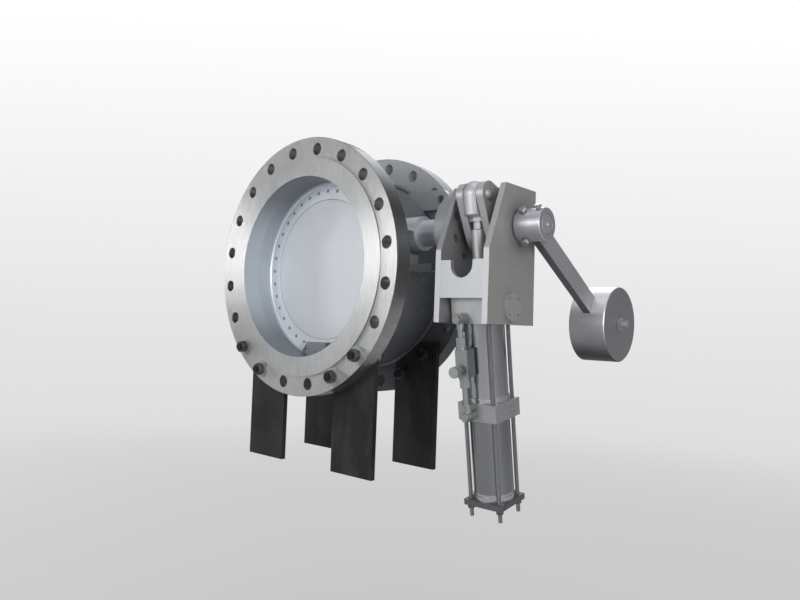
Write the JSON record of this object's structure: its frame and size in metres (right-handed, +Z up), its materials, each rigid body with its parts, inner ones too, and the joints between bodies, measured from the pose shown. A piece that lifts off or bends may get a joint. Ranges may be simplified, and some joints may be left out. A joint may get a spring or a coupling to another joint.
{
  "type": "non-return valve",
  "caption": "Flanged tilting-disc non-return valve on four flat legs, with a lever, an oil damper in a side bracket and a counterweight drum on an arm.",
  "frame": {"origin": "centre of the inlet flange's raised face", "axes": "+Y along the flow, from the inlet to the outlet; +X towards the lever, the damper and the counterweight; +Z up"},
  "size_m": [1.0635, 0.6876, 0.9732],
  "materials": {
    "machined_steel": "turned and milled bright steel",
    "painted_body": "dark metallic grey paint",
    "disc_steel": "pale satin grey, blasted",
    "bare_bright_steel": "bright milled steel",
    "bracket_steel": "satin mid-grey",
    "fastener_steel": "plated fasteners",
    "bronze": "cast bronze bushes",
    "packing": "graphite packing",
    "mill_scale_steel": "dark brownish mill scale",
    "counterweight_steel": "satin steel grey",
    "damper_steel": "bluish silver grey",
    "block_steel": "grey satin blocks",
    "fitting_steel": "silver-grey pipe fittings"
  },
  "bodies": {
    "valve": {"inlet_flange": "machined_steel", "outlet_flange": "painted_body", "body_shell": "painted_body", "seat_ring": "machined_steel", "stop_block": "painted_body", "stop_bolts": "fastener_steel", "drive_neck": "painted_body", "neck_rib": "painted_body", "lifting_lug": "bare_bright_steel", "bracket_strut": "painted_body", "blind_boss": "painted_body", "shaft_bushes": "bronze", "end_cover": "painted_body", "end_cover_bolts": "fastener_steel", "packing_rings": "packing", "gland_ring": "bracket_steel", "bracket_inner_plate": "bare_bright_steel", "bracket_outer_plate": "bracket_steel", "bracket_web": "bare_bright_steel", "bracket_screws": "fastener_steel", "bracket_tie_bar": "machined_steel", "outer_shaft_bush": "bronze", "trunnion_caps": "bracket_steel", "inlet_leg_left": "mill_scale_steel", "inlet_leg_right": "mill_scale_steel", "outlet_leg_left": "mill_scale_steel", "outlet_leg_right": "mill_scale_steel", "leg_studs": "fastener_steel", "leg_nuts": "fastener_steel", "leg_washers": "fastener_steel"},
    "rotor": {"disc": "disc_steel", "disc_seal": "disc_steel", "retaining_ring": "machined_steel", "retaining_screws": "fastener_steel", "shaft": "machined_steel", "disc_pins": "machined_steel", "lever_hub": "bracket_steel", "lever_cheeks": "bracket_steel", "lever_key": "bracket_steel", "lever_pin": "machined_steel", "counterweight_hub": "counterweight_steel", "hub_screws": "fastener_steel", "counterweight_arm": "counterweight_steel", "counterweight_drum": "counterweight_steel", "counterweight_bolt": "fastener_steel"},
    "damper": {"damper_head": "damper_steel", "rod_gland": "bronze", "upper_tube": "damper_steel", "middle_block": "block_steel", "lower_tube": "damper_steel", "bottom_flange": "block_steel", "damper_tie_rods": "fastener_steel", "tie_rod_nuts": "fastener_steel", "oil_line": "fitting_steel", "needle_valve": "fitting_steel"},
    "knob": {"adjusting_knob": "fitting_steel"},
    "rod": {"piston_rod": "machined_steel", "piston": "damper_steel", "rod_lock_nut": "machined_steel", "rod_eye": "machined_steel"}
  },
  "joints": [
    {"name": "disc_swing", "type": "hinge", "parent": "valve", "child": "rotor", "pos_m": [0.52, 0.175, 0.094], "axis": [1, 0, 0], "range_deg": [0, 60]},
    {"name": "damper_swing", "type": "hinge", "parent": "valve", "child": "damper", "pos_m": [0.5195, 0.1393, -0.101], "axis": [1, 0, 0], "range_deg": [0, 12.43]},
    {"name": "rod_slide", "type": "slide", "parent": "damper", "child": "rod", "axis": [0, 0.1613, -0.9869], "range_m": [0, 0.09548]},
    {"name": "needle_turn", "type": "hinge", "parent": "damper", "child": "knob", "pos_m": [0.5025, 0.06449, -0.25711], "axis": [0, -0.9869, -0.1613], "range_deg": [0, 1080]}
  ],
  "couplings": [
    {"joint": "damper_swing", "follows": "disc_swing", "ratio": 0.2068},
    {"joint": "rod_slide", "follows": "disc_swing", "m_per_rad": 0.09108}
  ]
}
